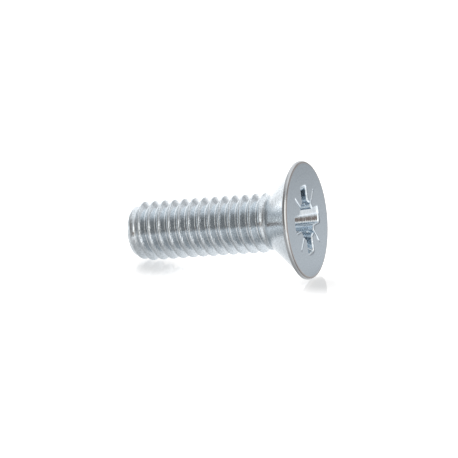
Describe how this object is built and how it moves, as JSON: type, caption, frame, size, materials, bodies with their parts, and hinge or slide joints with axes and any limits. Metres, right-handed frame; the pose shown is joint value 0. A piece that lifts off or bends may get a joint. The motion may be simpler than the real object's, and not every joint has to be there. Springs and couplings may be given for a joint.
{
  "type": "countersunk machine screw",
  "caption": "Short countersunk machine screw with a cross recess, a plain flat head and a shank threaded up to the head.",
  "frame": {"origin": "centre of the head's flat top face, where the screw axis leaves it", "axes": "+X along the screw axis out of the head, so the shank lies towards -X; the four recess wings point along +Y, +Z, -Y and -Z"},
  "size_m": [0.0119, 0.0076, 0.0076],
  "materials": {
    "zinc_plated_steel": "bright zinc plating over steel, pale blue-grey and glossy, finely grained on the head face"
  },
  "bodies": {
    "root": {"screw": "zinc_plated_steel"}
  },
  "joints": []
}
